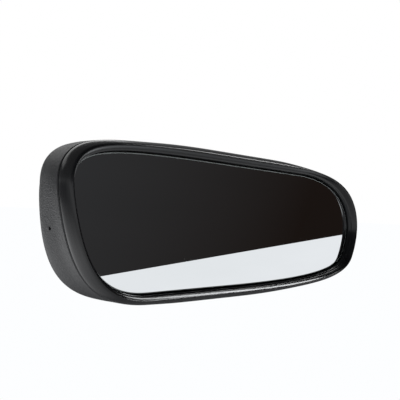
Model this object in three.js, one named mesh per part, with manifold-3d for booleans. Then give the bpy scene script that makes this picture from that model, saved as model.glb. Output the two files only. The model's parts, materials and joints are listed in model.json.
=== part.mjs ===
// Interior rearview mirror: a swivelling head on a ball stud, carried by a foot
// that slides onto a button bonded to the windscreen. Millimetres, +Z up, glass facing -Y.
// The world origin is the centre of the bonded face. Head pieces are drawn about the
// centre of the glass face, with depth growing towards +Y.
import * as THREE from 'three';
import { mergeVertices } from 'three/addons/utils/BufferGeometryUtils.js';
import Module from 'manifold-3d';

const wasm = await Module();
wasm.setup();

// ---------------------------------------------------------------- driving dimensions
const fitGap = 0.3;                       // clearance between touching pieces
const outlineSteps = 120;                 // points round the outline
const roundSteps = 32;                    // sides of a turned piece

// The four corners of the glass outline. Each corner is one cubic curve that leaves its
// two sides at the given reaches; fullness is how far the handles run to the corner.
const topLeft = { at: [-125.3, 39.6], fullness: 0.91, reachAlong: 110 };
const topRight = { at: [137.8, 32.0], fullness: 0.59, reachAlong: 77 };
const bottomRight = { at: [106.4, -31.9], fullness: 0.70, reachAlong: 105 };
const bottomLeft = { at: [-106.7, -38.5], fullness: 0.73, reachAlong: 40 };
const leftSplit = 0.61;                   // where the two left corners meet, from the bottom
const rightSplit = 0.235;                 // where the two right corners meet, from the bottom

const glassThickness = 3.0;
const glassBevel = 0.6;
const foamThickness = 1.0;
const foamInset = 5.0;
const carrierThickness = 2.0;
const carrierReach = 2.0;                 // carrier edge outside the glass edge
const carrierFront = glassThickness + foamThickness + 2 * fitGap;
const carrierBack = carrierFront + carrierThickness;

const seamDepth = 2.2;                    // rear edge of the bezel
const seamGap = 0.4;                      // parting line between bezel and shell
const seamReach = 7.5;                    // outer face outside the glass edge, at the seam
const crestHeight = 5.9;                  // bezel crest in front of the glass
const shellWall = 2.4;
const shoulderRadius = 12.0;
const shoulderStart = 16.0;               // depth where the shell wall starts to turn in
const shellDepth = 30.0;                  // deepest point of the domed back
const leanFrom = 7.0;                     // depth where the shell's left end starts to lean
const leanMiddle = 1.4;                   // extra reach of the left end at mid height
const leanSlope = 0.15;                   // how much of it is lost per millimetre upwards
const leanLeast = -1.4;
const slimFrom = 2.5;                     // reach outside which the frame is slimmed
// Places where the frame stands less far out, or further out where the amount is negative.
// Each is across, up, spread and amount.
const slimPlaces = [
  [-82, 37, 30, 1.1], [76, 33, 22, 2.0], [112, 17, 16, -1.9],
  [0, -36, 100, 0.65], [-80, -36, 25, 1.1], [68, -28, 32, 0.7],
];
const ribThickness = 1.6;

const ballRadius = 8.5;
const ballDepth = 20.0;                   // ball centre behind the glass face
const linerThickness = 1.4;
const linerInner = ballRadius + fitGap;
const linerOuter = linerInner + linerThickness;
const cavityRadius = linerOuter + fitGap;
const socketRadius = 18.5;
const socketScrewCircle = 14.9;
const neckRadius = 3.6;
const threadRadius = 4.0;
const shellHoleRadius = 11.0;

const screwRadius = 1.5;
const screwHoleRadius = screwRadius + fitGap;
const bossRadius = 4.2;
const carrierScrews = [[-84, 20], [-70, -22], [84, 16], [70, -17]];

const screenRake = THREE.MathUtils.degToRad(30);   // windscreen slope from the horizontal
const mountDepth = 70.0;                  // bonded face behind the glass face
const mountHeight = 24.0;                 // bonded face above the middle of the glass
const bossStart = 54.0;                   // front of the foot's boss, as a depth
const footWidth = 28.0;
const footLength = 36.0;
const padThickness = 0.6;
const buttonThickness = 4.5;
const buttonLength = 28.0;
const buttonHalfWidths = [9.0, 11.0];     // at the windscreen side and at the cabin side
const footTop = 2.2;                      // foot rim below the bonded face
const footBottom = 13.5;
const setScrewRadius = 2.6;
const setScrewAlong = -11.0;              // place of the set screw along the foot

// ---------------------------------------------------------------- solids and meshes
function solidOf(geometry) {
  const bare = geometry.clone();
  bare.deleteAttribute('normal');
  bare.deleteAttribute('uv');
  const merged = mergeVertices(bare, 1e-4);
  const points = merged.attributes.position.array;
  const index = merged.index.array;
  const faces = [];
  for (let i = 0; i < index.length; i += 3) {
    const [a, b, c] = [index[i], index[i + 1], index[i + 2]];
    if (a !== b && b !== c && c !== a) faces.push([a, b, c]);
  }
  let volume = 0;
  const at = (i) => new THREE.Vector3().fromArray(points, 3 * i);
  for (const [a, b, c] of faces) volume += at(a).dot(at(b).cross(at(c)));
  const triVerts = new Uint32Array(faces.flatMap(([a, b, c]) => (volume < 0 ? [a, c, b] : [a, b, c])));
  return new wasm.Manifold(new wasm.Mesh({ numProp: 3, vertProperties: points, triVerts }));
}

function geometryOf(solid) {
  const mesh = solid.getMesh();
  const geometry = new THREE.BufferGeometry();
  geometry.setAttribute('position', new THREE.BufferAttribute(new Float32Array(mesh.vertProperties), 3));
  geometry.setIndex(new THREE.BufferAttribute(new Uint32Array(mesh.triVerts), 1));
  geometry.computeVertexNormals();
  return geometry;
}

function piece(group, name, solid, [color, roughness, metalness]) {
  const material = new THREE.MeshStandardMaterial({ color, roughness, metalness });
  const mesh = new THREE.Mesh(geometryOf(solid), material);
  mesh.name = name;
  group.add(mesh);
  return mesh;
}

const vinyl = [0x2a2b2d, 0.62, 0.0];
const darkNylon = [0x1c1d1f, 0.5, 0.0];
const paleNylon = [0xd8d4c6, 0.45, 0.0];
const silvered = [0xe6e9ec, 0.02, 1.0];
const foam = [0x3a3a3c, 0.95, 0.0];
const zinc = [0xb4b8ba, 0.35, 1.0];
const springSteel = [0x6f7377, 0.4, 1.0];
const polished = [0xdadcdd, 0.12, 1.0];
const blackCoat = [0x17181a, 0.5, 0.3];
const bondFilm = [0xcfcab8, 0.4, 0.0];

// ---------------------------------------------------------------- the outline
const between = (a, b, t) => [a[0] + (b[0] - a[0]) * t, a[1] + (b[1] - a[1]) * t];
const towards = (a, b, length) => between(a, b, length / Math.hypot(b[0] - a[0], b[1] - a[1]));

function outlinePath() {
  const left = between(bottomLeft.at, topLeft.at, leftSplit);
  const right = between(bottomRight.at, topRight.at, rightSplit);
  const path = new THREE.Path();
  const corner = ({ at, fullness }, from, to) => {
    path.bezierCurveTo(...between(from, at, fullness), ...between(to, at, fullness), ...to);
  };
  const topFrom = towards(topLeft.at, topRight.at, topLeft.reachAlong);
  const topTo = towards(topRight.at, topLeft.at, topRight.reachAlong);
  const bottomFrom = towards(bottomRight.at, bottomLeft.at, bottomRight.reachAlong);
  const bottomTo = towards(bottomLeft.at, bottomRight.at, bottomLeft.reachAlong);
  path.moveTo(...left);
  corner(topLeft, left, topFrom);
  path.lineTo(...topTo);
  corner(topRight, topTo, right);
  corner(bottomRight, right, bottomFrom);
  path.lineTo(...bottomTo);
  corner(bottomLeft, bottomTo, left);
  return path;
}

const outlinePoints = outlinePath().getSpacedPoints(outlineSteps).slice(0, outlineSteps);
const outline = outlinePoints.map((p, i) => {
  const before = outlinePoints[(i + outlineSteps - 1) % outlineSteps];
  const after = outlinePoints[(i + 1) % outlineSteps];
  const along = new THREE.Vector2().subVectors(after, before).normalize();
  return { p, normal: new THREE.Vector2(-along.y, along.x) };
});

// The shell's left end leans: it stands out further low down. The lean grows with depth.
function leaning(p, normal, depth) {
  const share = Math.max(0, -normal.x) ** 2;
  const lean = Math.max(leanLeast, leanMiddle - leanSlope * p.y);
  return lean * share * THREE.MathUtils.smoothstep(depth, leanFrom, shoulderStart + 6);
}

function slimmed(p, reach) {
  const share = THREE.MathUtils.clamp((reach - slimFrom) / (seamReach - slimFrom), 0, 1);
  const near = ([x, z, spread, amount]) => amount * Math.exp(-((Math.hypot(p.x - x, p.y - z) / spread) ** 2));
  return reach - share * slimPlaces.reduce((sum, place) => sum + near(place), 0);
}

// One loop round the outline, at a reach outside it and a depth behind the glass face.
function loop(reach, depth, { scale = 1, lean = 0 } = {}) {
  return outline.map(({ p, normal }) => {
    const out = slimmed(p, reach) + lean * leaning(p, normal, depth);
    const x = (p.x + normal.x * out) * scale;
    const z = (p.y + normal.y * out) * scale;
    return new THREE.Vector3(x, depth, z);
  });
}

function skin(loops, faces) {
  const geometry = new THREE.BufferGeometry();
  geometry.setFromPoints(loops.flat());
  geometry.setIndex(faces);
  return solidOf(geometry);
}

function stripFaces(count, closed) {
  const n = outlineSteps;
  const faces = [];
  for (let k = 0; k < (closed ? count : count - 1); k += 1) {
    const next = (k + 1) % count;
    for (let i = 0; i < n; i += 1) {
      const j = (i + 1) % n;
      faces.push(k * n + i, next * n + i, next * n + j, k * n + i, next * n + j, k * n + j);
    }
  }
  return faces;
}

// A band whose closed section is a list of [reach, depth].
function band(section) {
  return skin(section.map(([reach, depth]) => loop(reach, depth)), stripFaces(section.length, true));
}

// A stack of loops with a flat cap at each end.
function stack(loops) {
  const faces = stripFaces(loops.length, false);
  const cap = (k, flip) => {
    const flat = loops[k].map((v) => new THREE.Vector2(v.x, v.z));
    for (const [a, b, c] of THREE.ShapeUtils.triangulateShape(flat, [])) {
      const base = k * outlineSteps;
      faces.push(...(flip ? [base + a, base + c, base + b] : [base + a, base + b, base + c]));
    }
  };
  cap(0, true);
  cap(loops.length - 1, false);
  return skin(loops, faces);
}

const plate = (reach, front, back) => stack([loop(reach, front), loop(reach, back)]);

// ---------------------------------------------------------------- turned and boxed helpers
const turned = (profile, sides = roundSteps) =>
  solidOf(new THREE.LatheGeometry(profile.map(([r, y]) => new THREE.Vector2(r, y)), sides));

// Points of an arc about the ball centre; the angle runs from the +Y side.
function ballArc(radius, from, to, steps) {
  return Array.from({ length: steps + 1 }, (_, i) => {
    const angle = THREE.MathUtils.degToRad(from + ((to - from) * i) / steps);
    return [radius * Math.sin(angle), ballDepth + radius * Math.cos(angle)];
  });
}

const rod = (radius, front, back, sides = roundSteps) =>
  turned([[0, front], [radius, front], [radius, back], [0, back]], sides);

const box = (size, [x, y, z]) => solidOf(new THREE.BoxGeometry(...size).translate(x, y, z));

const around = (count, radius, turn = 0) => Array.from({ length: count }, (_, i) => {
  const angle = turn + (2 * Math.PI * i) / count;
  return [radius * Math.cos(angle), radius * Math.sin(angle)];
});

// ---------------------------------------------------------------- casing
const shoulderCentre = seamReach - 0.5 - shoulderRadius;

function shellLoops(inset, front) {
  const lean = { lean: 1 };
  const radius = shoulderRadius - inset;
  const shoulder = Array.from({ length: 7 }, (_, i) => {
    const angle = (Math.PI / 2) * (i / 6);
    return loop(shoulderCentre + radius * Math.cos(angle), shoulderStart + radius * Math.sin(angle), lean);
  });
  const edge = shoulderStart + radius;
  const crown = shellDepth - inset;
  const dome = [0.86, 0.6, 0.3].map((scale) =>
    loop(shoulderCentre, crown - (crown - edge) * scale ** 2, { scale, lean: 1 }));
  return [
    loop(seamReach - inset, front, lean),
    loop(seamReach - 0.15 - inset, 8, lean),
    ...shoulder,
    ...dome,
  ];
}

function rearShell() {
  const rim = seamDepth + seamGap;
  const cavity = stack(shellLoops(shellWall, rim - 1));
  let shell = stack(shellLoops(0, rim)).subtract(cavity);
  const bossEnd = shellDepth - shellWall;
  for (const [x, z] of carrierScrews) {
    shell = shell.add(rod(bossRadius, carrierBack + fitGap, bossEnd, 20).translate([x, 0, z]));
    shell = shell.subtract(rod(screwHoleRadius, carrierBack, 20, 16).translate([x, 0, z]));
  }
  for (const [x, z] of [[-52, 13], [-52, -13], [52, 13], [52, -13]]) {
    shell = shell.add(box([52, 7, ribThickness], [x, 25.2, z]));
  }
  const beyond = shellDepth + 2;
  const swivelHole = turned([[0, 18], [shellHoleRadius - 1.5, 18], [shellHoleRadius, beyond], [0, beyond]]);
  const drain = rod(0.9, 0, 8, 12).rotate([0, 0, -90]).translate([-128.5, 13, -4]);
  return shell.subtract(swivelHole).subtract(drain);
}

function bezel() {
  const crest = -crestHeight;
  const flange = carrierFront - fitGap;
  const tongue = seamReach - shellWall - fitGap;
  return band([
    [seamReach, seamDepth], [seamReach, 0.3], [6.9, -1.7], [5.8, -3.9], [4.8, -5.2], [4.1, -5.75],
    [3.6, crest], [3.2, -5.55], [2.0, -3.35], [1.0, -2.7], [0.8, -2.4],
    [0.8, flange], [carrierReach + fitGap, flange],
    [carrierReach + fitGap, 8.2], [tongue - 0.5, 8.2], [tongue, 7.2], [tongue, seamDepth],
  ]);
}

const foamPad = () => plate(-foamInset, glassThickness + fitGap, carrierFront - fitGap);

const mirrorGlass = () => stack([
  loop(-glassBevel, 0),
  loop(0, glassBevel),
  loop(0, glassThickness - 0.3),
  loop(-0.3, glassThickness),
]);

function glassCarrier() {
  let carrier = plate(carrierReach, carrierFront, carrierBack);
  for (const z of [-14, 14]) {
    for (const x of [-42, 42]) {
      carrier = carrier.add(box([36, 4, ribThickness], [x, carrierBack + 1.8, z]));
    }
  }
  for (const [x, z] of carrierScrews) {
    const seat = turned([[0, carrierFront - 1], [3.6, carrierFront - 1], [3.6, carrierFront + 0.1],
      [screwHoleRadius, carrierBack - 0.1], [screwHoleRadius, carrierBack + 1], [0, carrierBack + 1]], 20);
    carrier = carrier.subtract(seat.translate([x, 0, z]));
  }
  for (const [x, z] of around(3, socketScrewCircle, Math.PI / 2)) {
    const hole = rod(screwHoleRadius, carrierFront - 1, carrierBack + 1, 16);
    carrier = carrier.subtract(hole.translate([x, 0, z]));
  }
  return carrier;
}

// A cross slot is cut into the head, whose top lies at the given depth.
function crossSlot(screw, top, deep) {
  return screw
    .subtract(box([3.2, deep, 0.7], [0, top, 0]))
    .subtract(box([0.7, deep, 3.2], [0, top, 0]));
}

const carrierScrew = () => crossSlot(turned([
  [0, carrierFront + 0.1], [3.0, carrierFront + 0.1], [3.0, carrierFront + 0.4],
  [screwRadius, carrierBack - 0.2], [screwRadius, 18], [0.5, 19.4], [0, 19.4],
], 20), carrierFront + 0.1, 1.6);

// ---------------------------------------------------------------- swivel
const socketFloor = carrierBack + fitGap;
const springSeat = 8.6;
const pocketRadius = 7.4;
const retainerFront = ballDepth + fitGap;
const retainerFlange = retainerFront + 3;

function socketBase() {
  const section = [
    [0, springSeat], [pocketRadius, springSeat],
    ...ballArc(cavityRadius, 135.1, 90, 8),
    [socketRadius, ballDepth], [socketRadius, socketFloor], [0, socketFloor],
  ];
  let base = turned(section);
  for (const [x, z] of around(3, socketScrewCircle, Math.PI / 2)) {
    base = base.subtract(rod(screwHoleRadius, socketFloor - 1, ballDepth + 1, 16).translate([x, 0, z]));
  }
  return base;
}

function socketRetainer() {
  const section = [
    ...ballArc(cavityRadius, 88.4, 50, 6),
    [cavityRadius * 0.98, 26.9], [11.4, retainerFlange], [socketRadius, retainerFlange],
    [socketRadius, retainerFront],
  ];
  section.push(section[0]);
  let retainer = turned(section);
  for (const [x, z] of around(3, socketScrewCircle, Math.PI / 2)) {
    retainer = retainer.subtract(rod(screwHoleRadius, retainerFront - 1, 30, 16).translate([x, 0, z]));
  }
  return retainer;
}

function socketScrew() {
  const head = retainerFlange + fitGap;
  return crossSlot(turned([
    [0, carrierFront + 0.3], [screwRadius, carrierFront + 0.3], [screwRadius, head],
    [2.9, head], [2.9, head + 1.2], [1.8, head + 1.9], [0, head + 1.9],
  ], 20), head + 1.9, 1.8);
}

function linerFront() {
  const section = [
    ...ballArc(linerInner, 105, 155, 8),
    [3.72, 10.4], [7.0, 10.4],
    ...ballArc(linerOuter, 136.7, 105, 6),
  ];
  section.push(section[0]);
  return turned(section);
}

function linerRear() {
  const section = [...ballArc(linerInner, 52, 75, 5), ...ballArc(linerOuter, 75, 52, 5)];
  section.push(section[0]);
  return turned(section);
}

const discSpring = () => turned([[4.2, 8.9], [6.9, 9.6], [6.9, 10.1], [4.2, 9.4], [4.2, 8.9]], 28);

const stemEnd = 66;
function ballStud() {
  const neckAngle = THREE.MathUtils.radToDeg(Math.asin(neckRadius / ballRadius));
  return turned([
    ...ballArc(ballRadius, 180, neckAngle, 16).map(([r, y], i) => [i === 0 ? 0 : r, y]),
    [neckRadius, 43], [threadRadius, 44.5], [threadRadius, stemEnd - 1],
    [threadRadius - 1, stemEnd], [0, stemEnd],
  ]);
}

function hexRing(acrossFlats, hole, front, back) {
  const hex = rod(acrossFlats / Math.sqrt(3), front, back, 6);
  return hex.subtract(rod(hole, front - 1, back + 1, 24));
}

const jamNut = () => hexRing(13, threadRadius + fitGap, 47.0, 52.0);
const lockWasher = () => turned([
  [threadRadius + fitGap, 52.3], [7.0, 52.3], [7.0, 53.7],
  [threadRadius + fitGap, 53.7], [threadRadius + fitGap, 52.3],
], 28);

// ---------------------------------------------------------------- foot and button
// Pieces at the windscreen are drawn with +Z out through the bonded face.
const footPlace = new THREE.Matrix4()
  .makeRotationX(-screenRake)
  .setPosition(0, mountDepth, mountHeight);

function roundedRectangle(width, length, radius) {
  const [x, y] = [width / 2, length / 2];
  const shape = new THREE.Shape();
  shape.absarc(x - radius, y - radius, radius, 0, Math.PI / 2);
  shape.absarc(radius - x, y - radius, radius, Math.PI / 2, Math.PI);
  shape.absarc(radius - x, radius - y, radius, Math.PI, Math.PI * 1.5);
  shape.absarc(x - radius, radius - y, radius, Math.PI * 1.5, Math.PI * 2);
  return shape;
}

function slab(shape, bottom, top) {
  const settings = { depth: top - bottom, bevelEnabled: false, curveSegments: 8 };
  return solidOf(new THREE.ExtrudeGeometry(shape, settings).translate(0, 0, bottom));
}

// The button's dovetail section, swept along the foot between two places.
function dovetail(grow, from, to) {
  const top = -padThickness - fitGap + grow;
  const bottom = -padThickness - fitGap - buttonThickness - grow;
  const [near, far] = buttonHalfWidths.map((half) => half + grow);
  const shape = new THREE.Shape([[-near, top], [near, top], [far, bottom], [-far, bottom]]
    .map(([x, y]) => new THREE.Vector2(x, y)));
  const geometry = new THREE.ExtrudeGeometry(shape, { depth: to - from, bevelEnabled: false });
  return solidOf(geometry.rotateX(Math.PI / 2).translate(0, to, 0));
}

function windscreenButton() {
  const wide = slab(roundedRectangle(2 * buttonHalfWidths[1], buttonLength, 5), -20, 5);
  return dovetail(0, -buttonLength / 2, buttonLength / 2).intersect(wide);
}

function adhesivePad() {
  const shape = roundedRectangle(2 * buttonHalfWidths[0] - 1, buttonLength - 2, 4);
  return slab(shape, -padThickness, 0);
}

function footBracket() {
  const block = slab(roundedRectangle(footWidth, footLength, 6), -footBottom, -footTop);
  const channel = dovetail(0.35, -buttonLength / 2 - 0.5, footLength);
  const holeRadius = setScrewRadius + fitGap;
  const screwHole = solidOf(new THREE.CylinderGeometry(holeRadius, holeRadius, 30, 20)
    .rotateX(Math.PI / 2).translate(0, setScrewAlong, -18));
  const shoe = block.subtract(channel).subtract(screwHole).transform(footPlace.elements);
  const side = new THREE.Shape([[56, -8], [68, -8.5], [76, -1], [76.5, 5], [66, 12], [58.5, 15], [56, 8]]
    .map(([y, z]) => new THREE.Vector2(y, z)));
  const sideways = new THREE.Matrix4().makeBasis(
    new THREE.Vector3(0, 1, 0), new THREE.Vector3(0, 0, 1), new THREE.Vector3(1, 0, 0));
  const webWidth = 13;
  const web = solidOf(new THREE.ExtrudeGeometry(side, { depth: webWidth, bevelEnabled: false })
    .translate(0, 0, -webWidth / 2).applyMatrix4(sideways));
  const boss = rod(9.0, bossStart, 70);
  return shoe.add(web).add(boss).subtract(rod(threadRadius + fitGap, bossStart - 1, stemEnd + fitGap));
}

// The set screw bears on the cabin face of the button.
function setScrew() {
  const tip = -padThickness - 2 * fitGap - buttonThickness;
  const tail = -footBottom + 0.6;
  const body = solidOf(new THREE.CylinderGeometry(setScrewRadius, setScrewRadius, tip - tail, 20)
    .rotateX(Math.PI / 2).translate(0, setScrewAlong, (tip + tail) / 2));
  const key = solidOf(new THREE.CylinderGeometry(1.5, 1.5, 5, 6)
    .rotateX(Math.PI / 2).translate(0, setScrewAlong, tail));
  return body.subtract(key);
}

// ---------------------------------------------------------------- assembly
const mirror = new THREE.Group();
const fromGlass = new THREE.Group();
fromGlass.position.set(0, -mountDepth, -mountHeight);
mirror.add(fromGlass);
const atScreen = new THREE.Group();
atScreen.rotation.x = -screenRake;
mirror.add(atScreen);

piece(fromGlass, 'rear_shell', rearShell(), vinyl);
piece(fromGlass, 'bezel', bezel(), vinyl);
piece(fromGlass, 'mirror_glass', mirrorGlass(), silvered);
piece(fromGlass, 'foam_pad', foamPad(), foam);
piece(fromGlass, 'glass_carrier', glassCarrier(), darkNylon);
piece(fromGlass, 'socket_base', socketBase(), darkNylon);
piece(fromGlass, 'socket_retainer', socketRetainer(), blackCoat);
piece(fromGlass, 'ball_liner_front', linerFront(), paleNylon);
piece(fromGlass, 'ball_liner_rear', linerRear(), paleNylon);
piece(fromGlass, 'disc_spring', discSpring(), springSteel);
piece(fromGlass, 'ball_stud', ballStud(), polished);
piece(fromGlass, 'jam_nut', jamNut(), zinc);
piece(fromGlass, 'lock_washer', lockWasher(), zinc);
piece(fromGlass, 'foot_bracket', footBracket(), blackCoat);
carrierScrews.forEach(([x, z], i) => {
  piece(fromGlass, `carrier_screw_${i + 1}`, carrierScrew(), zinc).position.set(x, 0, z);
});
around(3, socketScrewCircle, Math.PI / 2).forEach(([x, z], i) => {
  piece(fromGlass, `socket_screw_${i + 1}`, socketScrew(), zinc).position.set(x, 0, z);
});
piece(atScreen, 'windscreen_button', windscreenButton(), zinc);
piece(atScreen, 'adhesive_pad', adhesivePad(), bondFilm);
piece(atScreen, 'set_screw', setScrew(), springSteel);

export default mirror;
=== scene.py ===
import json
import math

import bpy
from mathutils import Matrix, Vector, kdtree


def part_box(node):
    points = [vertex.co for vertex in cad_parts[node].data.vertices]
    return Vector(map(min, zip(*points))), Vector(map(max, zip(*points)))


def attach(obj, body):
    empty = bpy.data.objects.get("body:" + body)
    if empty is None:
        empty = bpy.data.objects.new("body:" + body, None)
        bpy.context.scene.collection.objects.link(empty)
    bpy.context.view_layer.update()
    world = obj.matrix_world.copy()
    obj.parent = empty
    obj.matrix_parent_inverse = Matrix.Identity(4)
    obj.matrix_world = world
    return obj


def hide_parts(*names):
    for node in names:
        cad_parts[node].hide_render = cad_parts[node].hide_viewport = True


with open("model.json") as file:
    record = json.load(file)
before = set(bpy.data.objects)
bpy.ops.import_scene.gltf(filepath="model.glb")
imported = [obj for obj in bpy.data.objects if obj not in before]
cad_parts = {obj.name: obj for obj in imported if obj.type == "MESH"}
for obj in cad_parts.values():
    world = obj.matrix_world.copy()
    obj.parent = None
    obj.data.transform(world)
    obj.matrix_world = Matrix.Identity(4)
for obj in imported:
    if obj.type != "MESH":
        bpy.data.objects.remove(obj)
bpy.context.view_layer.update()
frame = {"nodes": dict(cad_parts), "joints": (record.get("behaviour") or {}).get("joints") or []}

# ---------------------------------------------------------------- sizes
MM = 0.001
GLASS_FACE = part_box("mirror_glass")[0].y
BALL = Vector(frame["joints"][0]["pos_m"])

# Corners of the glass outline, with how far each curve reaches along the long side and how
# full it is. Points are across and up from the ball's axis, in millimetres.
TOP_LEFT = {"at": (-125.3, 39.6), "fullness": 0.91, "reach": 110}
TOP_RIGHT = {"at": (137.8, 32.0), "fullness": 0.59, "reach": 77}
BOTTOM_RIGHT = {"at": (106.4, -31.9), "fullness": 0.70, "reach": 105}
BOTTOM_LEFT = {"at": (-106.7, -38.5), "fullness": 0.73, "reach": 40}
LEFT_SPLIT = 0.61
RIGHT_SPLIT = 0.235

SEAM_REACH = 7.5
SEAM_DEPTH = 2.2
SEAM_GAP = 0.4
SHELL_WALL = 2.4
SHOULDER_RADIUS = 12.0
SHOULDER_START = 16.0
SHELL_DEPTH = 30.0
SHELL_HOLE = 11.0
BACK_RINGS = 15
DOME_HALF_WIDTH, DOME_HALF_HEIGHT = 115, 34
# The shell's left side leans out behind this depth, fully from the second one on.
LEAN_FROM, LEAN_FULL = 7.0, 22.0
LEAN_MIDDLE, LEAN_SLOPE, LEAN_LEAST = 1.4, 0.15, -1.4
SLIM_FROM = 2.5
# Places where the frame stands less far out, or further out where the amount is negative.
# Each is across, up, spread and amount.
SLIM_PLACES = [
    (-82, 37, 30, 1.1), (76, 33, 22, 2.0), (112, 17, 16, -1.9),
    (0, -36, 100, 0.65), (-80, -36, 25, 1.1), (68, -28, 32, 0.7),
]
GLASS_THICKNESS = 3.0
GLASS_BEVEL = 0.6
DRAIN_RADIUS, DRAIN_DEPTH, DRAIN_DROP = 0.9, 13.5, 4.0
BALL_RADIUS, BALL_DEPTH = 8.5, 20
THREAD_ROOT, THREAD_CREST = 3.45, 4.0
THREAD_START, THREAD_TURNS = 45.2, 20
NUT_FLATS, NUT_FRONT, NUT_BACK = 13, 47.0, 52.0
WASHER_RADIUS, WASHER_DEPTH, WASHER_TEETH = 7.0, 53, 12
FLOOR_DROP = 0.16
LIGHT_AIM = Vector((0, -0.06, -0.02))

# The camera looks from the left front, level with the head.
VIEW_AZIMUTH, VIEW_ELEVATION, VIEW_ROLL = -46.0, -0.81, 2.55
VIEW_DISTANCE = 0.4829
VIEW_AIM = Vector((-0.0291, GLASS_FACE, BALL.z + 0.0144))
LENS = 76.5


# ---------------------------------------------------------------- shader maths
class Value:
    """A node's output socket. Arithmetic on it adds Math nodes."""

    def __init__(self, recipe, socket):
        self.recipe = recipe
        self.socket = socket

    def math(self, operation, first, second):
        return self.recipe.node("ShaderNodeMath", {"operation": operation}, {0: first, 1: second})

    def __add__(self, other):
        return self.math("ADD", self, other)

    def __sub__(self, other):
        return self.math("SUBTRACT", self, other)

    def __mul__(self, other):
        return self.math("MULTIPLY", self, other)

    __radd__ = __add__
    __rmul__ = __mul__


class Recipe:
    """One material: a Principled shader, its constants and the nodes that feed it."""

    def __init__(self, name, **constants):
        self.material = bpy.data.materials.new(name)
        self.material.use_nodes = True
        self.tree = self.material.node_tree
        self.shader = self.tree.nodes["Principled BSDF"]
        for socket, value in constants.items():
            label = socket.replace("_", " ").title().replace("Ior", "IOR")
            self.shader.inputs[label].default_value = value

    def node(self, kind, settings=None, inputs=None, output=0):
        made = self.tree.nodes.new(kind)
        for setting, value in (settings or {}).items():
            if setting == "stops":
                ramp = made.color_ramp
                while len(ramp.elements) < len(value):
                    ramp.elements.new(0.5)
                for element, (place, level) in zip(ramp.elements, value):
                    element.position = place
                    element.color = (level, level, level, 1)
            else:
                setattr(made, setting, value)
        for socket, value in (inputs or {}).items():
            self.put(made.inputs[socket], value)
        return Value(self, made.outputs[output])

    def put(self, socket, value):
        if isinstance(value, Value):
            self.tree.links.new(value.socket, socket)
        else:
            socket.default_value = value

    def feed(self, name, value):
        self.put(self.shader.inputs[name], value)

    def place(self, scale=(1, 1, 1), turn=(0, 0, 0)):
        where = self.node("ShaderNodeTexCoord", output="Object")
        setting_out = {"Vector": where, "Rotation": turn, "Scale": scale}
        return self.node("ShaderNodeMapping", None, setting_out)

    def noise(self, size, detail=3.0, stretch=(1, 1, 1), turn=(0, 0, 0)):
        grain = {"Vector": self.place(stretch, turn), "Scale": 1 / size, "Detail": detail}
        return self.node("ShaderNodeTexNoise", None, grain)

    def ramp(self, value, *stops):
        return self.node("ShaderNodeValToRGB", {"stops": stops}, {"Fac": value})

    def blend(self, share, low, high):
        colours = {"Factor": share, "A": (*low, 1), "B": (*high, 1)}
        return self.node("ShaderNodeMix", {"data_type": "RGBA"}, colours, "Result")

    def bump(self, height, distance):
        heights = {"Height": height, "Distance": distance, "Strength": 1.0}
        self.feed("Normal", self.node("ShaderNodeBump", None, heights))

    def cells(self, size):
        spacing = {"Vector": self.place(), "Scale": 1 / size}
        return self.node("ShaderNodeTexVoronoi", None, spacing, "Distance")


def grained_plastic(name, low, high, roughness, grain, height, shine=0.5):
    """Moulded casing plastic: a fine leather-like grain, with the gloss patchy from handling."""
    made = Recipe(name, ior=1.47, specular_ior_level=shine)
    cells = made.node("ShaderNodeTexVoronoi", {"feature": "SMOOTH_F1"},
                      {"Vector": made.place(), "Scale": 1 / grain, "Smoothness": 0.6}, "Distance")
    fine = made.noise(0.6 * grain, 2.0)
    broad = made.noise(28 * MM, 4.0)
    mottle = made.ramp(broad + 0.25 * fine, (0.35, 0), (0.85, 1))
    made.feed("Base Color", made.blend(mottle, low, high))
    made.feed("Roughness", roughness + 0.14 * (broad - 0.5) + 0.08 * cells)
    made.bump(cells * 0.7 + fine * 0.4, height)
    return made.material


def mirror_face(name):
    """Silver behind clear glass, with faint wipe marks that only touch the gloss."""
    made = Recipe(name, metallic=1.0)
    wipes = made.noise(40 * MM, 5.0, (0.35, 1, 2.2), (0, 0.5, 0))
    specks = made.noise(1.1 * MM, 1.0)
    haze = made.ramp(wipes, (0.3, 0), (0.8, 1))
    made.feed("Base Color", made.blend(haze, (0.80, 0.82, 0.84), (0.76, 0.785, 0.80)))
    smears = made.ramp(wipes, (0.58, 0), (0.8, 1))
    dust = made.ramp(specks, (0.78, 0), (0.85, 1))
    made.feed("Roughness", 0.004 + 0.02 * smears + 0.02 * dust)
    return made.material


def ground_edge(name):
    """The seamed edge of the glass: pale, fine-ground and slightly green."""
    made = Recipe(name, specular_ior_level=0.5)
    streaks = made.noise(0.35 * MM, 3.0)
    made.feed("Base Color", made.blend(streaks, (0.30, 0.33, 0.33), (0.58, 0.62, 0.61)))
    made.feed("Roughness", 0.28 + 0.25 * streaks)
    made.bump(streaks, 0.02 * MM)
    return made.material


def backing_paint(name):
    """Grey lacquer over the silver on the back of the glass."""
    made = Recipe(name)
    cloud = made.noise(9 * MM, 4.0)
    made.feed("Base Color", made.blend(cloud, (0.16, 0.17, 0.18), (0.22, 0.23, 0.24)))
    made.feed("Roughness", 0.45 + 0.2 * cloud)
    made.bump(made.noise(0.5 * MM), 0.02 * MM)
    return made.material


def cell_foam(name):
    """Closed-cell foam tape with open bubbles at its cut face."""
    made = Recipe(name)
    bubbles = made.cells(0.7 * MM)
    made.feed("Base Color", made.blend(bubbles, (0.028, 0.028, 0.03), (0.075, 0.075, 0.078)))
    made.feed("Roughness", 0.8 + 0.15 * bubbles)
    made.bump(bubbles, 0.25 * MM)
    return made.material


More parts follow.
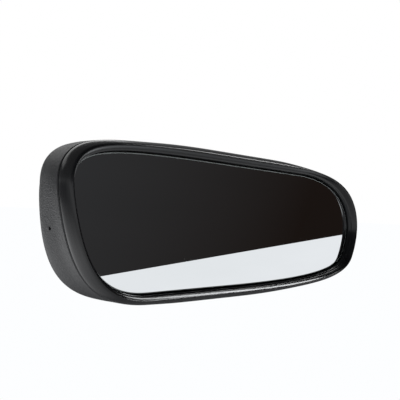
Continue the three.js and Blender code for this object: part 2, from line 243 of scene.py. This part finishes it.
def filled_nylon(name, low, high, roughness):
    """Moulded nylon with short glass fibres just under its skin."""
    made = Recipe(name)
    fibres = made.noise(1.2 * MM, 2.0, (1, 1, 0.22))
    cloud = made.noise(14 * MM, 3.0)
    mottle = made.ramp(cloud + 0.3 * fibres, (0.4, 0), (0.9, 1))
    made.feed("Base Color", made.blend(mottle, low, high))
    made.feed("Roughness", roughness + 0.16 * (cloud - 0.5) + 0.1 * fibres)
    made.bump(fibres, 0.03 * MM)
    return made.material


def coated_casting(name):
    """Black coating over a die casting, with orange peel and rubbed, greyer high spots."""
    made = Recipe(name, specular_ior_level=0.5)
    peel = made.noise(0.9 * MM, 2.0)
    cloud = made.noise(11 * MM, 4.0)
    rubbed = made.ramp(made.noise(3.5 * MM, 6.0), (0.66, 0), (0.74, 1))
    wear = 0.35 * rubbed + 0.4 * cloud
    made.feed("Base Color", made.blend(wear, (0.012, 0.0125, 0.014), (0.10, 0.10, 0.105)))
    made.feed("Roughness", 0.34 + 0.22 * cloud + 0.1 * peel)
    made.bump(peel, 0.06 * MM)
    return made.material


def plated_steel(name, low, high, roughness):
    """Zinc plate or oiled spring steel: cloudy, with fine drawing lines."""
    made = Recipe(name, metallic=1.0)
    cloud = made.noise(3 * MM, 4.0)
    lines = made.noise(0.5 * MM, 2.0, (1, 0.12, 1))
    made.feed("Base Color", made.blend(cloud, low, high))
    made.feed("Roughness", roughness + 0.18 * cloud + 0.08 * lines)
    made.bump(lines, 0.02 * MM)
    return made.material


def polished_steel(name):
    """Chromed ball stud, bright with faint turning marks round its axis."""
    made = Recipe(name, metallic=1.0)
    cloud = made.noise(4 * MM, 4.0)
    rings = made.noise(0.22 * MM, 1.0, (0.02, 1, 0.02))
    made.feed("Base Color", made.blend(cloud, (0.66, 0.67, 0.69), (0.80, 0.81, 0.82)))
    made.feed("Roughness", 0.10 + 0.10 * cloud + 0.06 * rings)
    made.bump(rings, 0.008 * MM)
    return made.material


def bond_film(name):
    """Milky structural bonding film, with small trapped bubbles."""
    made = Recipe(name)
    cloud = made.noise(5 * MM, 3.0)
    bubbles = made.cells(1.6 * MM)
    made.feed("Base Color", made.blend(cloud, (0.46, 0.43, 0.33), (0.62, 0.59, 0.48)))
    made.feed("Roughness", 0.3 + 0.2 * bubbles)
    made.bump(bubbles, 0.04 * MM)
    return made.material


SHELL_PLASTIC = grained_plastic("shell_plastic", (0.012, 0.0125, 0.0142), (0.019, 0.0198, 0.0222),
                                roughness=0.42, grain=0.8 * MM, height=0.24 * MM)
BEZEL_PLASTIC = grained_plastic("bezel_plastic", (0.007, 0.0073, 0.0082), (0.012, 0.0125, 0.0142),
                                roughness=0.16, grain=0.6 * MM, height=0.002 * MM, shine=0.4)
MIRROR_FACE = mirror_face("mirror_face")
GROUND_EDGE = ground_edge("ground_edge")
BACKING_PAINT = backing_paint("backing_paint")
FOAM = cell_foam("foam_tape")
DARK_NYLON = filled_nylon("dark_nylon", (0.016, 0.016, 0.018), (0.032, 0.032, 0.034), 0.46)
ACETAL = filled_nylon("acetal", (0.60, 0.58, 0.50), (0.72, 0.70, 0.62), 0.34)
BLACK_COAT = coated_casting("black_coat")
ZINC = plated_steel("zinc_plate", (0.52, 0.53, 0.55), (0.70, 0.71, 0.72), 0.24)
SPRING_STEEL = plated_steel("spring_steel", (0.16, 0.165, 0.175), (0.30, 0.31, 0.33), 0.30)
CHROME = polished_steel("polished_chrome")
BOND_FILM = bond_film("bond_film")


# ---------------------------------------------------------------- modelling tools
def deselect():
    if bpy.context.object and bpy.context.object.mode != "OBJECT":
        bpy.ops.object.mode_set(mode="OBJECT")
    bpy.ops.object.select_all(action="DESELECT")


def pick(*objects):
    deselect()
    for thing in objects:
        thing.select_set(True)
    bpy.context.view_layer.objects.active = objects[0]


def edit(thing, vertices=None, faces=None):
    """Opens a mesh with only the vertices or faces that pass the test selected."""
    pick(thing)
    bpy.ops.object.mode_set(mode="EDIT")
    bpy.ops.mesh.select_all(action="DESELECT")
    bpy.ops.mesh.select_mode(type="FACE" if faces else "VERT")
    bpy.ops.object.mode_set(mode="OBJECT")
    for element in thing.data.polygons if faces else thing.data.vertices:
        element.select = (faces or vertices)(element)
    bpy.ops.object.mode_set(mode="EDIT")


def leave():
    bpy.ops.object.mode_set(mode="OBJECT")


def apply(thing, kind, **settings):
    pick(thing)
    made = thing.modifiers.new(kind.lower(), kind)
    for setting, value in settings.items():
        setattr(made, setting, value)
    bpy.ops.object.modifier_apply(modifier=made.name)


def cut(thing, tool, operation="DIFFERENCE"):
    apply(thing, "BOOLEAN", object=tool, operation=operation, solver="EXACT")
    bpy.data.objects.remove(tool)


def settle(thing, material, angle=35):
    """Applies the object's place to its mesh, cleans it and shades it."""
    pick(thing)
    bpy.ops.object.transform_apply(location=True, rotation=True, scale=True)
    bpy.ops.object.mode_set(mode="EDIT")
    bpy.ops.mesh.select_all(action="SELECT")
    bpy.ops.mesh.remove_doubles(threshold=0.002 * MM)
    bpy.ops.mesh.normals_make_consistent(inside=False)
    leave()
    bpy.ops.object.shade_smooth_by_angle(angle=math.radians(angle))
    if not thing.data.materials:
        thing.data.materials.append(material)


def finished(thing, name, body, slot, *nodes):
    thing.name = name
    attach(thing, body)
    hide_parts(*nodes)


# ---------------------------------------------------------------- the outline
def part_way(a, b, share):
    return (a[0] + (b[0] - a[0]) * share, a[1] + (b[1] - a[1]) * share)


def along(a, b, length):
    return part_way(a, b, length / math.dist(a, b))


def flat(place):
    return Vector((place[0] * MM, place[1] * MM, 0))


def corner_curve():
    """The glass outline as a closed Bezier curve of six points, drawn flat."""
    left = part_way(BOTTOM_LEFT["at"], TOP_LEFT["at"], LEFT_SPLIT)
    right = part_way(BOTTOM_RIGHT["at"], TOP_RIGHT["at"], RIGHT_SPLIT)
    stops = [
        (left, BOTTOM_LEFT, TOP_LEFT),
        (along(TOP_LEFT["at"], TOP_RIGHT["at"], TOP_LEFT["reach"]), TOP_LEFT, None),
        (along(TOP_RIGHT["at"], TOP_LEFT["at"], TOP_RIGHT["reach"]), None, TOP_RIGHT),
        (right, TOP_RIGHT, BOTTOM_RIGHT),
        (along(BOTTOM_RIGHT["at"], BOTTOM_LEFT["at"], BOTTOM_RIGHT["reach"]), BOTTOM_RIGHT, None),
        (along(BOTTOM_LEFT["at"], BOTTOM_RIGHT["at"], BOTTOM_LEFT["reach"]), None, BOTTOM_LEFT),
    ]
    deselect()
    bpy.ops.curve.primitive_bezier_circle_add(radius=100 * MM)
    curve = bpy.context.object
    bpy.ops.object.mode_set(mode="EDIT")
    for _ in range(2):
        points = curve.data.splines[0].bezier_points
        for i, point in enumerate(points):
            point.select_control_point = point.select_left_handle = point.select_right_handle = i < 2
        bpy.ops.curve.subdivide()
    leave()
    points = curve.data.splines[0].bezier_points
    for i, (place, before, after) in enumerate(stops):
        points[i].handle_left_type = points[i].handle_right_type = "FREE"
        points[i].co = flat(place)
        points[i].radius = 1.0
        points[i].tilt = 0.0
        last, following = stops[i - 1][0], stops[(i + 1) % len(stops)][0]
        points[i].handle_left = flat(part_way(place, before["at"], before["fullness"]) if before
                                     else part_way(place, last, 1 / 3))
        points[i].handle_right = flat(part_way(place, after["at"], after["fullness"]) if after
                                      else part_way(place, following, 1 / 3))
    curve.data.dimensions = "2D"
    curve.data.fill_mode = "NONE"
    curve.data.resolution_u = 40
    return curve


def section_curve(points, closed):
    """A section whose reach outside the glass edge runs to the left and whose depth runs down.
    Each point is (reach, depth, kind); kind AUTO is rounded and VECTOR is a corner."""
    deselect()
    bpy.ops.curve.primitive_bezier_circle_add(radius=1 * MM)
    curve = bpy.context.object
    curve.data.dimensions = "2D"
    curve.data.splines.clear()
    spline = curve.data.splines.new("BEZIER")
    spline.bezier_points.add(len(points) - 1)
    for point, (reach, depth, kind) in zip(spline.bezier_points, points):
        point.co = (-reach * MM, -depth * MM, 0)
        point.handle_left_type = point.handle_right_type = kind
    spline.use_cyclic_u = closed
    curve.data.resolution_u = 5
    return curve


def swept(points, closed=True):
    """The section carried round the outline, as a mesh that stands upright in place."""
    section = section_curve(points, closed)
    path = corner_curve()
    path.data.bevel_mode = "OBJECT"
    path.data.bevel_object = section
    pick(path)
    bpy.ops.object.convert(target="MESH")
    path = bpy.context.object
    bpy.data.objects.remove(section)
    stand_up(path)
    return path


def stand_up(thing):
    """Turns a flat shape upright, with its face on the glass's front face."""
    thing.rotation_euler = (math.pi / 2, 0, 0)
    thing.location = (0, GLASS_FACE, BALL.z)
    pick(thing)
    bpy.ops.object.transform_apply(location=True, rotation=True, scale=True)


def outline_tree():
    """The outline's points in a search tree and a list, with the outward direction at each."""
    curve = corner_curve()
    pick(curve)
    bpy.ops.object.convert(target="MESH")
    loop = bpy.context.object
    stand_up(loop)
    spots = [v.co.copy() for v in loop.data.vertices]
    bpy.data.objects.remove(loop)
    tree = kdtree.KDTree(len(spots))
    outward = []
    for i, spot in enumerate(spots):
        tree.insert(spot, i)
        tangent = spots[(i + 1) % len(spots)] - spots[i - 1]
        outward.append(Vector((-tangent.z, 0, tangent.x)).normalized())
    tree.balance()
    return tree, spots, outward


# ---------------------------------------------------------------- casing
def make_bezel():
    """The front frame: side, rounded crest, steep and gentle inner slopes, flange and tongue."""
    tongue = SEAM_REACH - SHELL_WALL - 0.3
    bezel = swept([
        (7.1, SEAM_DEPTH - 0.1, "VECTOR"), (SEAM_REACH, SEAM_DEPTH - 0.5, "VECTOR"),
        (7.45, 0.3, "AUTO"), (6.9, -1.7, "AUTO"), (5.9, -3.8, "AUTO"), (4.95, -5.2, "AUTO"),
        (4.3, -5.7, "AUTO"), (3.7, -5.75, "AUTO"), (3.3, -5.4, "AUTO"), (3.0, -4.95, "VECTOR"),
        (1.95, -3.25, "VECTOR"), (1.75, -3.05, "VECTOR"), (1.0, -2.85, "VECTOR"),
        (0.8, -2.6, "VECTOR"), (0.8, 4.3, "VECTOR"), (2.3, 4.3, "VECTOR"), (2.3, 8.2, "VECTOR"),
        (tongue - 0.5, 8.2, "VECTOR"), (tongue, 7.2, "VECTOR"), (tongue, SEAM_DEPTH - 0.1, "VECTOR"),
    ])
    shape_frame(bezel, False)
    settle(bezel, BEZEL_PLASTIC)
    finished(bezel, "bezel_frame", "head", "bezel_vinyl", "bezel")


def shape_frame(thing, leans):
    """Slims the frame where it stands less far out, and leans the shell's left end."""
    tree, spots, outward = outline_tree()
    for vertex in thing.data.vertices:
        index = tree.find(Vector((vertex.co.x, GLASS_FACE, vertex.co.z)))[1]
        spot, way = spots[index], outward[index]
        reach = (vertex.co - spot).dot(way) / MM
        share = min(1.0, max(0.0, (reach - SLIM_FROM) / (SEAM_REACH - SLIM_FROM)))
        x, z = spot.x / MM, (spot.z - BALL.z) / MM
        slim = sum(most * math.exp(-((math.dist((x, z), (at_x, at_z)) / spread) ** 2))
                   for at_x, at_z, spread, most in SLIM_PLACES)
        move = -share * slim
        if leans:
            depth = (vertex.co.y - GLASS_FACE) / MM
            grown = min(1.0, max(0.0, (depth - LEAN_FROM) / (LEAN_FULL - LEAN_FROM)))
            lean = max(LEAN_LEAST, LEAN_MIDDLE - LEAN_SLOPE * z) * max(0.0, -way.x) ** 2
            move += lean * grown * grown * (3 - 2 * grown)
        vertex.co += way * (move * MM)


def shell_side():
    """The shell's side and shoulder, open at the front and the back."""
    rim = SEAM_DEPTH + SEAM_GAP + 0.15
    turn = SEAM_REACH - 0.5
    end = turn - SHOULDER_RADIUS
    lean = SHOULDER_RADIUS * (1 - math.cos(math.pi / 4))
    side = swept([
        (7.0, rim, "VECTOR"), (SEAM_REACH, rim + 0.5, "VECTOR"), (SEAM_REACH - 0.1, 8, "AUTO"),
        (turn, SHOULDER_START, "AUTO"),
        (turn - 0.9, SHOULDER_START + 4.6, "AUTO"),
        (turn - lean, SHOULDER_START + SHOULDER_RADIUS - lean, "AUTO"),
        (end + 4.6, SHOULDER_START + SHOULDER_RADIUS - 0.9, "AUTO"),
        (end, SHOULDER_START + SHOULDER_RADIUS, "AUTO"),
    ], closed=False)
    shape_frame(side, True)
    return side


def close_back(shell):
    """Carries the back edge inwards, ring by ring, to the swivel hole, and domes the rings."""
    back = max(v.co.y for v in shell.data.vertices)
    middle = Vector((0, back, BALL.z))
    hole = SHELL_HOLE * MM
    edge = {v.index for v in shell.data.vertices if v.co.y > back - 0.001 * MM}
    for left in range(BACK_RINGS - 1, -1, -1):
        edit(shell, vertices=lambda v: v.index in edge)
        bpy.ops.mesh.extrude_edges_move()
        leave()
        edge = {v.index for v in shell.data.vertices if v.select}
        for vertex in shell.data.vertices:
            if vertex.select:
                spot = vertex.co - middle
                gap = spot.length - hole
                vertex.co = middle + spot.normalized() * (hole + gap * left / (left + 1))
    rise = (SHELL_DEPTH - (SHOULDER_START + SHOULDER_RADIUS)) * MM
    for vertex in shell.data.vertices:
        if vertex.co.y > back - 0.001 * MM:
            x, z = vertex.co.x / DOME_HALF_WIDTH, (vertex.co.z - BALL.z) / DOME_HALF_HEIGHT
            across = Vector((x, 0, z)) / MM
            vertex.co.y += rise * max(0.0, 1 - across.length ** 2)


def make_shell():
    shell = shell_side()
    close_back(shell)
    settle(shell, SHELL_PLASTIC)
    apply(shell, "SOLIDIFY", thickness=SHELL_WALL * MM, offset=-1.0)
    settle(shell, SHELL_PLASTIC)
    deselect()
    bpy.ops.mesh.primitive_cylinder_add(
        vertices=24, radius=DRAIN_RADIUS * MM, depth=8 * MM, rotation=(0, math.pi / 2, 0),
        location=(-125 * MM, GLASS_FACE + DRAIN_DEPTH * MM, BALL.z - DRAIN_DROP * MM))
    cut(shell, bpy.context.object)
    settle(shell, SHELL_PLASTIC)
    finished(shell, "shell_casing", "head", "shell_vinyl", "rear_shell")


def make_glass():
    """The plate: silvered face, ground bevelled edge and lacquered back."""
    curve = corner_curve()
    pick(curve)
    bpy.ops.object.convert(target="MESH")
    glass = bpy.context.object
    stand_up(glass)
    edit(glass, vertices=lambda v: True)
    bpy.ops.mesh.edge_face_add()
    bpy.ops.mesh.extrude_region_move(TRANSFORM_OT_translate={"value": (0, GLASS_THICKNESS * MM, 0)})
    leave()
    settle(glass, MIRROR_FACE, 20)
    for material in (GROUND_EDGE, BACKING_PAINT):
        glass.data.materials.append(material)
    edit(glass, faces=lambda f: abs(f.normal.y) > 0.9)
    bpy.ops.mesh.region_to_loop()
    bpy.ops.mesh.bevel(offset=GLASS_BEVEL * MM, segments=2)
    leave()
    for face in glass.data.polygons:
        face.material_index = 0 if face.normal.y < -0.98 else 2 if face.normal.y > 0.98 else 1
    bpy.ops.object.shade_smooth_by_angle(angle=math.radians(20))
    finished(glass, "mirror_plate", "head", "mirror_glass", "mirror_glass")


# ---------------------------------------------------------------- swivel and foot
def turned(points, material, angle=35):
    """A piece turned about the ball's axis from its (radius, depth, kind) outline."""
    profile = section_curve(points, False)
    pick(profile)
    bpy.ops.object.convert(target="MESH")
    thing = bpy.context.object
    edit(thing, vertices=lambda v: True)
    bpy.ops.mesh.spin(steps=72, angle=2 * math.pi, center=(0, 0, 0), axis=(0, 1, 0))
    leave()
    thing.rotation_euler = (math.pi, 0, 0)
    thing.location = (0, GLASS_FACE, BALL.z)
    settle(thing, material, angle)
    return thing


def rod(radius, front, back, sides):
    """A prism on the ball's axis between two depths."""
    deselect()
    bpy.ops.mesh.primitive_cylinder_add(
        vertices=sides, radius=radius * MM, depth=(back - front) * MM,
        location=(0, GLASS_FACE + (front + back) / 2 * MM, BALL.z), rotation=(math.pi / 2, 0, 0))
    pick(bpy.context.object)
    bpy.ops.object.transform_apply(location=True, rotation=True, scale=True)
    return bpy.context.object


def make_ball_stud():
    """Ball, neck and threaded end turned in one piece, with the thread as rings."""
    ball = []
    for degrees in range(168, 29, -12):
        angle = math.radians(degrees)
        ball.append((BALL_RADIUS * math.sin(angle), BALL_DEPTH + BALL_RADIUS * math.cos(angle), "AUTO"))
    threads = []
    for turn in range(THREAD_TURNS):
        start = THREAD_START + turn
        threads += [(THREAD_ROOT, start, "VECTOR"), (THREAD_CREST, start + 0.42, "VECTOR"),
                    (THREAD_CREST, start + 0.58, "VECTOR")]
    stud = turned([
        (0, BALL_DEPTH - BALL_RADIUS, "VECTOR"), *ball, (3.85, 27.9, "AUTO"), (3.6, 28.9, "VECTOR"),
        (3.6, 43.0, "VECTOR"), (3.9, 43.4, "VECTOR"), (4.0, 44.6, "VECTOR"), *threads,
        (THREAD_ROOT, 65.4, "VECTOR"), (2.9, 66.0, "VECTOR"), (0, 66.0, "VECTOR"),
    ], CHROME, 30)
    finished(stud, "turned_ball_stud", "foot", "polished_chrome", "ball_stud")


def make_jam_nut():
    """A hexagon with its corners turned off and its bore countersunk at both ends."""
    front, back = NUT_FRONT, NUT_BACK
    nut = rod(NUT_FLATS / math.sqrt(3), front, back, 6)
    chamfers = turned([
        (0, front - 0.1, "VECTOR"), (6.3, front - 0.1, "VECTOR"), (7.7, front + 0.75, "VECTOR"),
        (7.7, back - 0.75, "VECTOR"), (6.3, back + 0.1, "VECTOR"), (0, back + 0.1, "VECTOR"),
    ], ZINC)
    cut(nut, chamfers, "INTERSECT")
    bore = turned([
        (0, front - 0.5, "VECTOR"), (5.1, front - 0.5, "VECTOR"), (4.2, front + 0.5, "VECTOR"),
        (4.2, back - 0.5, "VECTOR"), (5.1, back + 0.5, "VECTOR"), (0, back + 0.5, "VECTOR"),
    ], ZINC)
    cut(nut, bore)
    apply(nut, "BEVEL", width=0.15 * MM, segments=2, limit_method="ANGLE",
          angle_limit=math.radians(25))
    settle(nut, ZINC)
    finished(nut, "chamfered_jam_nut", "foot", "zinc_plate", "jam_nut")


def make_lock_washer():
    """A thin ring with eased edges and a round notch between each two teeth."""
    washer = turned([
        (4.35, 52.45, "VECTOR"), (4.5, 52.3, "VECTOR"), (6.8, 52.3, "VECTOR"),
        (WASHER_RADIUS, 52.5, "VECTOR"), (WASHER_RADIUS, 53.5, "VECTOR"), (6.8, 53.7, "VECTOR"),
        (4.5, 53.7, "VECTOR"), (4.35, 53.55, "VECTOR"), (4.35, 52.45, "VECTOR"),
    ], ZINC)
    for step in range(WASHER_TEETH):
        turn = math.tau * step / WASHER_TEETH
        across, up = WASHER_RADIUS * MM * math.cos(turn), WASHER_RADIUS * MM * math.sin(turn)
        deselect()
        bpy.ops.mesh.primitive_cylinder_add(
            vertices=20, radius=0.55 * MM, depth=4 * MM, rotation=(math.pi / 2, 0, 0),
            location=(across, GLASS_FACE + WASHER_DEPTH * MM, BALL.z + up))
        cut(washer, bpy.context.object)
    settle(washer, ZINC)
    finished(washer, "toothed_lock_washer", "foot", "zinc_plate", "lock_washer")


def eased(node_name, name, slot, material, radius):
    """A copy of a frame piece with its faceted faces joined and its edges rounded over."""
    source = frame["nodes"][node_name]
    pick(source)
    bpy.ops.object.duplicate()
    thing = bpy.context.object
    thing.data.materials.clear()
    edit(thing, vertices=lambda v: True)
    bpy.ops.mesh.remove_doubles(threshold=0.003 * MM)
    bpy.ops.mesh.dissolve_limited(angle_limit=math.radians(2))
    leave()
    apply(thing, "BEVEL", width=radius * MM, segments=3, limit_method="ANGLE",
          angle_limit=math.radians(32), miter_outer="MITER_ARC", use_clamp_overlap=True)
    settle(thing, material, 40)
    finished(thing, name, "foot", slot, node_name)


make_bezel()
make_shell()
make_glass()
make_ball_stud()
make_jam_nut()
make_lock_washer()
eased("foot_bracket", "cast_foot_bracket", "black_coat", BLACK_COAT, 0.7)
eased("windscreen_button", "bonded_button", "zinc_plate", ZINC, 0.5)

# ---------------------------------------------------------------- pieces kept from the frame
KEPT = {
    "foam_pad": FOAM, "glass_carrier": DARK_NYLON, "socket_base": DARK_NYLON,
    "socket_retainer": BLACK_COAT, "ball_liner_front": ACETAL, "ball_liner_rear": ACETAL,
    "disc_spring": SPRING_STEEL, "adhesive_pad": BOND_FILM, "set_screw": SPRING_STEEL,
    **{f"carrier_screw_{i}": ZINC for i in (1, 2, 3, 4)},
    **{f"socket_screw_{i}": ZINC for i in (1, 2, 3)},
}
for node_name, material in KEPT.items():
    node = frame["nodes"][node_name]
    node.data.materials.clear()
    node.data.materials.append(material)


# ---------------------------------------------------------------- studio
def emitter(name, colour):
    """A glowing material, with its tree and its emission node."""
    material = bpy.data.materials.new(name)
    material.use_nodes = True
    tree = material.node_tree
    tree.nodes.clear()
    glow = tree.nodes.new("ShaderNodeEmission")
    glow.inputs["Color"].default_value = (*colour, 1)
    glow.inputs["Strength"].default_value = 1.0
    out = tree.nodes.new("ShaderNodeOutputMaterial")
    tree.links.new(glow.outputs[0], out.inputs["Surface"])
    return material, tree, glow


def make_floor():
    """A pale floor. The light it throws comes from before the object and from its left rear."""
    deselect()
    bpy.ops.mesh.primitive_circle_add(vertices=96, radius=40, fill_type="NGON",
                                      location=(0, 0, BALL.z - FLOOR_DROP))
    floor = bpy.context.object
    floor.name = "floor"
    material, tree, lamp = emitter("floor_white", (0.98, 0.99, 1.0))
    where = tree.nodes.new("ShaderNodeSeparateXYZ")
    tree.links.new(tree.nodes.new("ShaderNodeNewGeometry").outputs["Position"], where.inputs[0])

    def ramp(axis, start, stop, low, high):
        made = tree.nodes.new("ShaderNodeMapRange")
        for name, value in zip(("From Min", "From Max", "To Min", "To Max"), (start, stop, low, high)):
            made.inputs[name].default_value = value
        tree.links.new(where.outputs[axis], made.inputs["Value"])
        return made.outputs["Result"]

    def join(operation, first, second):
        made = tree.nodes.new("ShaderNodeMath")
        made.operation = operation
        tree.links.new(first, made.inputs[0])
        tree.links.new(second, made.inputs[1])
        return made.outputs[0]

    left = join("MULTIPLY", ramp("X", -0.02, -0.22, 0.0, 2.5), ramp("X", -0.60, -0.28, 0.10, 1.0))
    left = join("MULTIPLY", left, ramp("Y", -0.35, 0.15, 0.22, 1.0))
    glow = join("MAXIMUM", left, ramp("Y", 0.0, -0.35, 0.12, 1.0))
    camera_ray = tree.nodes.new("ShaderNodeLightPath").outputs["Is Camera Ray"]
    tree.links.new(join("MAXIMUM", glow, camera_ray), lamp.inputs["Strength"])
    floor.data.materials.append(material)


def make_dark_card():
    """A dark card before the glass, out of the camera's sight, that the upper glass reflects.
    Its lower edge slopes, and it is greyer to the left and browner to the right."""
    deselect()
    bpy.ops.mesh.primitive_plane_add(size=1)
    card = bpy.context.object
    card.name = "dark_card"
    material, tree, lamp = emitter("card_black", (0.01, 0.01, 0.01))
    where = tree.nodes.new("ShaderNodeTexCoord")
    across = tree.nodes.new("ShaderNodeVectorMath")
    across.operation = "DOT_PRODUCT"
    across.inputs[1].default_value = (0.9, 0, -0.45)
    tones = tree.nodes.new("ShaderNodeValToRGB")
    stops = ((0.35, (0.034, 0.034, 0.035)), (0.95, (0.0125, 0.0085, 0.0070)))
    for element, (place, colour) in zip(tones.color_ramp.elements, stops):
        element.position = place
        element.color = (*colour, 1)
    tree.links.new(where.outputs["Object"], across.inputs[0])
    tree.links.new(across.outputs["Value"], tones.inputs["Fac"])
    tree.links.new(tones.outputs[0], lamp.inputs["Color"])
    card.data.materials.append(material)
    low_left, low_right = Vector((0.10, -0.808, -0.174)), Vector((1.80, -0.808, 0.0155))
    lift = Vector((0, 0, 1.6))
    corners = (low_left, low_right, low_left + lift, low_right + lift)
    for vertex, place in zip(card.data.vertices, corners):
        vertex.co = place
    card.visible_camera = False
    card.visible_diffuse = False
    card.visible_shadow = False


def area_light(name, place, size, watts):
    """A rectangular softbox turned to the head."""
    light = bpy.data.lights.new(name, "AREA")
    light.shape = "RECTANGLE"
    light.size, light.size_y = size
    light.energy = watts
    lamp = bpy.data.objects.new(name, light)
    bpy.context.scene.collection.objects.link(lamp)
    lamp.location = place
    lamp.rotation_euler = (LIGHT_AIM - Vector(place)).to_track_quat("-Z", "Y").to_euler()


def make_world():
    """White behind the object; for its light, bright to the back and left and dark before it."""
    world = bpy.data.worlds.new("studio")
    bpy.context.scene.world = world
    world.use_nodes = True
    tree = world.node_tree
    tree.nodes.clear()

    def node(kind, **settings):
        made = tree.nodes.new(kind)
        for name, value in settings.items():
            setattr(made, name, value)
        return made

    way = node("ShaderNodeTexCoord").outputs["Generated"]

    def ramp_along(direction, *stops):
        along_it = node("ShaderNodeVectorMath", operation="DOT_PRODUCT")
        tree.links.new(way, along_it.inputs[0])
        along_it.inputs[1].default_value = direction
        tones = node("ShaderNodeMapRange", interpolation_type="SMOOTHSTEP")
        for socket, value in zip(("From Min", "From Max", "To Min", "To Max"), stops):
            tones.inputs[socket].default_value = value
        tree.links.new(along_it.outputs["Value"], tones.inputs["Value"])
        return tones.outputs["Result"]

    both = node("ShaderNodeMath", operation="MULTIPLY")
    tree.links.new(ramp_along((-0.5, 1, 0), -0.30, 0.35, 0.02, 0.85), both.inputs[0])
    tree.links.new(ramp_along((0, 0, 1), -0.02, 0.14, 1.0, 0.30), both.inputs[1])
    lit = node("ShaderNodeBackground")
    tree.links.new(both.outputs[0], lit.inputs["Strength"])
    lit.inputs["Color"].default_value = (0.98, 0.99, 1, 1)
    seen = node("ShaderNodeBackground")
    seen.inputs["Color"].default_value = (1, 1, 1, 1)
    mix = node("ShaderNodeMixShader")
    tree.links.new(node("ShaderNodeLightPath").outputs["Is Camera Ray"], mix.inputs[0])
    tree.links.new(lit.outputs[0], mix.inputs[1])
    tree.links.new(seen.outputs[0], mix.inputs[2])
    tree.links.new(mix.outputs[0], node("ShaderNodeOutputWorld").inputs["Surface"])


def make_camera():
    data = bpy.data.cameras.new("camera")
    data.sensor_width = 36
    data.lens = LENS
    camera = bpy.data.objects.new("camera", data)
    bpy.context.scene.collection.objects.link(camera)
    bpy.context.scene.camera = camera
    azimuth, elevation = math.radians(VIEW_AZIMUTH), math.radians(VIEW_ELEVATION)
    back = Vector((math.sin(azimuth) * math.cos(elevation),
                   -math.cos(azimuth) * math.cos(elevation), math.sin(elevation)))
    camera.location = VIEW_AIM + back * VIEW_DISTANCE
    level = (-back).to_track_quat("-Z", "Y").to_matrix()
    camera.rotation_euler = (level @ Matrix.Rotation(math.radians(VIEW_ROLL), 3, "Z")).to_euler()


make_floor()
make_dark_card()
make_world()
make_camera()
area_light("right_softbox", (0.95, -0.02, 0.85), (0.16, 0.45), 1.6)
area_light("right_front_softbox", (0.95, -0.36, 0.85), (0.14, 0.45), 2.4)
area_light("back_softbox", (-0.15, 0.85, 0.76), (2.3, 0.5), 5.0)
bpy.context.scene.view_settings.view_transform = "Standard"
